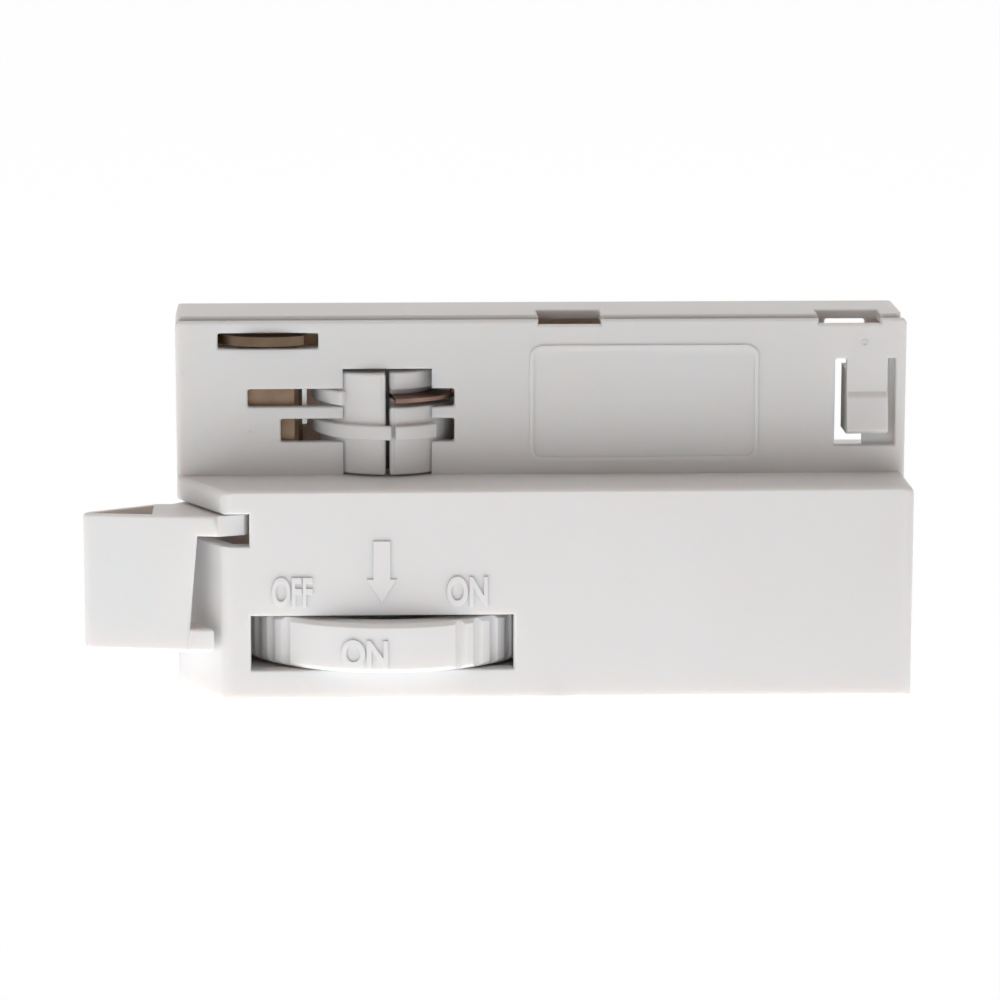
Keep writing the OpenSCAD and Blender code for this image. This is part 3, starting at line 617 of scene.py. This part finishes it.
    @staticmethod
    def select_lowest_edge(piece):
        """Selects only the lowest edge of a piece in Edit mode."""
        mesh = bmesh.from_edit_mesh(piece.data)
        lowest = min(mesh.edges, key=lambda e: sum(v.co.z for v in e.verts))
        for part in (mesh.verts, mesh.edges, mesh.faces):
            for item in part:
                item.select = False
        lowest.select = True
        for vertex in lowest.verts:
            vertex.select = True
        mesh.select_flush_mode()
        bmesh.update_edit_mesh(piece.data)


class ADAPTER_OT_gate_marks(bpy.types.Operator):
    """Puts the small round marks of the mould's gates on the insert's front"""
    bl_idname = "adapter.gate_marks"
    bl_label = "Gate marks"

    def execute(self, context):
        radius = context.scene.adapter_sizes.gate_mark
        first = self.mark(context, radius)
        for name, x, z, share in (("gate_mark_main", 21.1, 43.7, 1),
                                  ("gate_mark_end", -66.1, 40.1, 0.6),
                                  ("gate_mark_low", -57.5, 32.7, 0.6)):
            piece = bpy.data.objects.new(name, first.data.copy())
            context.scene.collection.objects.link(piece)
            activate(piece)
            piece.scale = (share, share, share)
            piece.location = (x * MM, INSERT_FRONT, z * MM)
            bpy.ops.object.transform_apply(location=True, rotation=True, scale=True)
            finish_piece(piece, "adapter", legend_abs())
        bpy.data.objects.remove(first, do_unlink=True)
        return {"FINISHED"}

    @staticmethod
    def mark(context, radius):
        """A low rim round a sunken scar, about the origin, that faces -Y."""
        out = 0.1 * MM
        deselect()
        bpy.ops.mesh.primitive_cylinder_add(vertices=24, radius=radius, depth=SUNK + out,
                                            location=(0, (SUNK - out) / 2, 0),
                                            rotation=(math.pi / 2, 0, 0))
        piece = context.active_object
        bpy.ops.object.transform_apply(location=True, rotation=True, scale=True)
        bpy.ops.object.mode_set(mode="EDIT")
        mesh = bmesh.from_edit_mesh(piece.data)
        for face in mesh.faces:
            face.select_set(face.normal.y < -0.9)
        bmesh.update_edit_mesh(piece.data)
        bpy.ops.mesh.inset(thickness=0.25 * radius)
        bpy.ops.mesh.extrude_region_move(TRANSFORM_OT_translate={"value": (0, 1.1 * out, 0)})
        bpy.ops.transform.resize(value=(0.7, 1, 0.7))
        bpy.ops.object.mode_set(mode="OBJECT")
        return piece


class ADAPTER_OT_stem_nut(bpy.types.Operator):
    """Cuts the lamp stem's thread into the steel nut in the underside"""
    bl_idname = "adapter.stem_nut"
    bl_label = "Stem nut"

    def execute(self, context):
        sizes = context.scene.adapter_sizes
        low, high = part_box("stem_nut")

        def radius_at(middle, edge):
            return 0.3 * MM if edge.is_convex and middle.z < low.z + NEAR else 0

        piece = soften(node_copy("stem_nut", "stem_nut_threaded"), radius_at)
        tap = self.tap(context, sizes, low.z, high.z)
        faces = len(piece.data.polygons)
        cut = piece.modifiers.new("thread", "BOOLEAN")
        cut.operation = "DIFFERENCE"
        cut.solver = "EXACT"
        cut.object = tap
        apply_modifiers(piece)
        bpy.data.objects.remove(tap, do_unlink=True)
        if len(piece.data.polygons) <= faces:
            raise RuntimeError("the thread left no mark in the stem nut")
        bpy.ops.mesh.customdata_custom_splitnormals_clear()
        bpy.ops.object.shade_smooth_by_angle(angle=CREASE)
        finish_piece(piece, "adapter", zinc_plated_steel())
        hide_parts("stem_nut")
        return {"FINISHED"}

    @staticmethod
    def tap(context, sizes, low, high):
        """A threaded rod that reaches past the nut: a V of two edges on a screw about Z."""
        pitch, turns = sizes.thread_pitch, math.ceil((high - low) / sizes.thread_pitch) + 4
        deselect()
        bpy.ops.mesh.primitive_plane_add(size=math.sqrt(2), rotation=(math.pi / 2, math.pi / 4, 0))
        tap = context.active_object
        bpy.ops.object.transform_apply(location=True, rotation=True, scale=True)
        bpy.ops.object.mode_set(mode="EDIT")
        mesh = bmesh.from_edit_mesh(tap.data)
        innermost = min(mesh.verts, key=lambda v: v.co.x)
        for vertex in mesh.verts:
            vertex.select_set(vertex == innermost)
        bmesh.update_edit_mesh(tap.data)
        bpy.ops.mesh.delete(type="VERT")
        bpy.ops.object.mode_set(mode="OBJECT")
        tap.scale = (sizes.thread_depth, 1, pitch / 2)
        tap.location = (STEM_BORE, 0, low - 1.5 * pitch)
        bpy.ops.object.transform_apply(location=True, rotation=True, scale=True)
        screw = tap.modifiers.new("screw", "SCREW")
        screw.axis = "Z"
        screw.angle = 2 * math.pi
        screw.screw_offset = pitch
        screw.iterations = turns
        screw.steps = screw.render_steps = 40
        screw.use_merge_vertices = True
        screw.merge_threshold = 0.001 * MM
        apply_modifiers(tap)
        bpy.ops.object.mode_set(mode="EDIT")
        bpy.ops.mesh.select_all(action="SELECT")
        bpy.ops.mesh.remove_doubles(threshold=0.001 * MM)
        bpy.ops.mesh.fill_holes(sides=0)
        bpy.ops.mesh.select_all(action="SELECT")
        bpy.ops.mesh.normals_make_consistent(inside=False)
        bpy.ops.object.mode_set(mode="OBJECT")
        return tap


class ADAPTER_OT_inner_parts(bpy.types.Operator):
    """Gives the CAD parts inside the adapter their plastics and metals"""
    bl_idname = "adapter.inner_parts"
    bl_label = "Inner parts"

    def execute(self, context):
        finishes = (
            (moulded_abs, ("contact_holder", "rotor_spindle", "terminal_block")),
            (rolled_brass, ("phase_leaf", "neutral_leaf", "earth_leaf", "lock_shaft",
                            "terminal_clamps")),
            (browned_brass, ("lock_tab",)),
            (rolled_copper, ("phase_contact", "neutral_contact")),
            (zinc_plated_steel, ("cover_screws", "terminal_screws", "lock_circlip")),
        )
        for finish, nodes in finishes:
            for node in nodes:
                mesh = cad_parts[node].data
                mesh.materials.clear()
                mesh.materials.append(finish())
        return {"FINISHED"}


class ADAPTER_OT_stage(bpy.types.Operator):
    """Sets the pale floor, the soft lights and the camera"""
    bl_idname = "adapter.stage"
    bl_label = "Stage"

    def execute(self, context):
        self.floor(context)
        self.lights(context)
        self.camera(context)
        context.scene.view_settings.view_transform = "Standard"
        return {"FINISHED"}

    def floor(self, context):
        """Pale paper under the object that also glows: for all rays but the camera's it is an
        emitter that lights the sides from below, and it keeps a faint shadow.
        """
        deselect()
        bpy.ops.mesh.primitive_plane_add(size=8, location=(0, 0, -0.0002))
        floor = context.active_object
        floor.name = "studio_floor"
        made, tree, surface = blank_material("lit_studio_paper")
        tint = (*context.scene.adapter_colours.floor, 1)
        matt = add_node(tree, "ShaderNodeBsdfDiffuse", {"Color": tint})
        white = add_node(tree, "ShaderNodeEmission", {"Color": (1, 1, 1, 1), "Strength": 1.02})
        place = add_node(tree, "ShaderNodeTexCoord").outputs["Object"]
        # The floor's own glow lights the object from below though the floor is no lamp. It is
        # stronger at the left and weaker away from the object
        across = add_node(tree, "ShaderNodeSeparateXYZ", links=[(place, 0)])
        level = add_node(tree, "ShaderNodeMapRange",
                         {"From Min": -0.12, "From Max": 0.08, "To Min": 1.85, "To Max": 1.5},
                         [(across.outputs["X"], "Value")])
        far = add_node(tree, "ShaderNodeVectorMath", links=[(place, 0)], operation="LENGTH")
        fade = add_node(tree, "ShaderNodeMapRange",
                        {"From Min": 0.1, "From Max": 0.5, "To Min": 1.04, "To Max": 0.46},
                        [(far.outputs["Value"], "Value")])
        strength = add_node(tree, "ShaderNodeMath", operation="MULTIPLY",
                            links=[(level.outputs["Result"], 0), (fade.outputs["Result"], 1)])
        glow = add_node(tree, "ShaderNodeEmission", {"Color": (0.98, 0.99, 1, 1)},
                        [(strength.outputs[0], "Strength")])
        paper = add_node(tree, "ShaderNodeMixShader", {0: 0.96},
                         [(matt.outputs[0], 1), (white.outputs[0], 2)])
        mix = add_node(tree, "ShaderNodeMixShader",
                       links=[(self.seen(tree), 0), (glow.outputs[0], 1), (paper.outputs[0], 2)])
        tree.links.new(mix.outputs[0], surface)
        floor.data.materials.append(made)

    @staticmethod
    def seen(tree):
        """A socket that is 1 where the camera sees the surface, in a mirror or glass too."""
        rays = add_node(tree, "ShaderNodeLightPath").outputs
        either = add_node(tree, "ShaderNodeMath", operation="MAXIMUM",
                          links=[(rays["Is Camera Ray"], 0), (rays["Is Glossy Ray"], 1)])
        through = add_node(tree, "ShaderNodeMath", operation="MAXIMUM",
                           links=[(either.outputs[0], 0), (rays["Is Transmission Ray"], 1)])
        return through.outputs[0]

    def lights(self, context):
        """Weak warm air, a white background, a soft panel above and a small one at the left."""
        world = bpy.data.worlds.new("studio_air")
        context.scene.world = world
        world.use_nodes = True
        tree = world.node_tree
        tree.nodes.clear()
        warm = add_node(tree, "ShaderNodeBackground",
                        {"Color": (1, 0.87, 0.8, 1), "Strength": 0.19})
        white = add_node(tree, "ShaderNodeBackground", {"Color": (1, 1, 1, 1), "Strength": 1.0})
        air = add_node(tree, "ShaderNodeMixShader",
                       links=[(self.seen(tree), 0), (warm.outputs[0], 1), (white.outputs[0], 2)])
        out = add_node(tree, "ShaderNodeOutputWorld", links=[(air.outputs[0], "Surface")])
        out.is_active_output = True
        for name, place, target, width, height, watts, tint in (
                ("top_panel", (0, 0.22, 0.85), (0, 0, 0.03), 0.8, 0.8, 3.25, (1, 0.99, 0.98)),
                ("left_panel", (-0.45, -0.65, 0.2), (-0.05, 0, 0.02), 0.3, 0.25, 0.38,
                 (1, 0.99, 0.97))):
            deselect()
            bpy.ops.object.light_add(type="AREA", location=place)
            lamp = context.active_object
            lamp.name = name
            lamp.data.shape = "RECTANGLE"
            lamp.data.size, lamp.data.size_y = width, height
            lamp.data.energy = watts
            lamp.data.color = tint
            lamp.visible_camera = False
            aim = Vector(target) - Vector(place)
            lamp.rotation_euler = aim.to_track_quat("-Z", "Y").to_euler()

    def camera(self, context):
        """The photograph's camera: angles in radians, focal length and centre in its pixels."""
        pitch, yaw, focal = 0.1828, -0.0303, 4221.4
        centre = (454.54, 458.63)
        deselect()
        bpy.ops.object.camera_add(location=(-0.047531, -0.5390562, 0.1273481),
                                  rotation=(math.pi / 2 - pitch, 0, yaw))
        camera = context.active_object
        camera.name = "photo_camera"
        camera.data.sensor_width = SENSOR_MM
        camera.data.lens = focal / PHOTO_SIDE * SENSOR_MM
        camera.data.shift_x = (PHOTO_SIDE / 2 - centre[0]) / PHOTO_SIDE
        camera.data.shift_y = (centre[1] - PHOTO_SIDE / 2) / PHOTO_SIDE
        camera.data.clip_start = 0.01
        camera.data.clip_end = 50
        context.scene.camera = camera


class ADAPTER_PT_panel(bpy.types.Panel):
    """Lists the adapter's sizes, colours and pieces"""
    bl_idname = "ADAPTER_PT_panel"
    bl_label = "Track Light Adapter"
    bl_space_type = "VIEW_3D"
    bl_region_type = "UI"
    bl_category = "Adapter"

    def draw(self, context):
        for group in (context.scene.adapter_sizes, context.scene.adapter_colours):
            box = self.layout.box()
            for name in group.bl_rna.properties.keys():
                if name not in ("rna_type", "name"):
                    box.prop(group, name)
        for operator in OPERATORS:
            self.layout.operator(operator.bl_idname)


OPERATORS = (ADAPTER_OT_housing, ADAPTER_OT_covers, ADAPTER_OT_switch, ADAPTER_OT_lever,
             ADAPTER_OT_legends, ADAPTER_OT_gate_marks, ADAPTER_OT_stem_nut, ADAPTER_OT_inner_parts,
             ADAPTER_OT_stage)
CLASSES = (AdapterSizes, AdapterColours, *OPERATORS, ADAPTER_PT_panel)


def register():
    for cls in CLASSES:
        bpy.utils.register_class(cls)
    bpy.types.Scene.adapter_sizes = PointerProperty(type=AdapterSizes)
    bpy.types.Scene.adapter_colours = PointerProperty(type=AdapterColours)


def unregister():
    del bpy.types.Scene.adapter_colours
    del bpy.types.Scene.adapter_sizes
    for cls in reversed(CLASSES):
        bpy.utils.unregister_class(cls)


def main():
    register()
    bpy.ops.adapter.stage()
    bpy.ops.adapter.housing()
    bpy.ops.adapter.covers()
    bpy.ops.adapter.switch()
    bpy.ops.adapter.lever()
    bpy.ops.adapter.legends()
    bpy.ops.adapter.gate_marks()
    bpy.ops.adapter.stem_nut()
    bpy.ops.adapter.inner_parts()


if __name__ == "__main__":
    main()
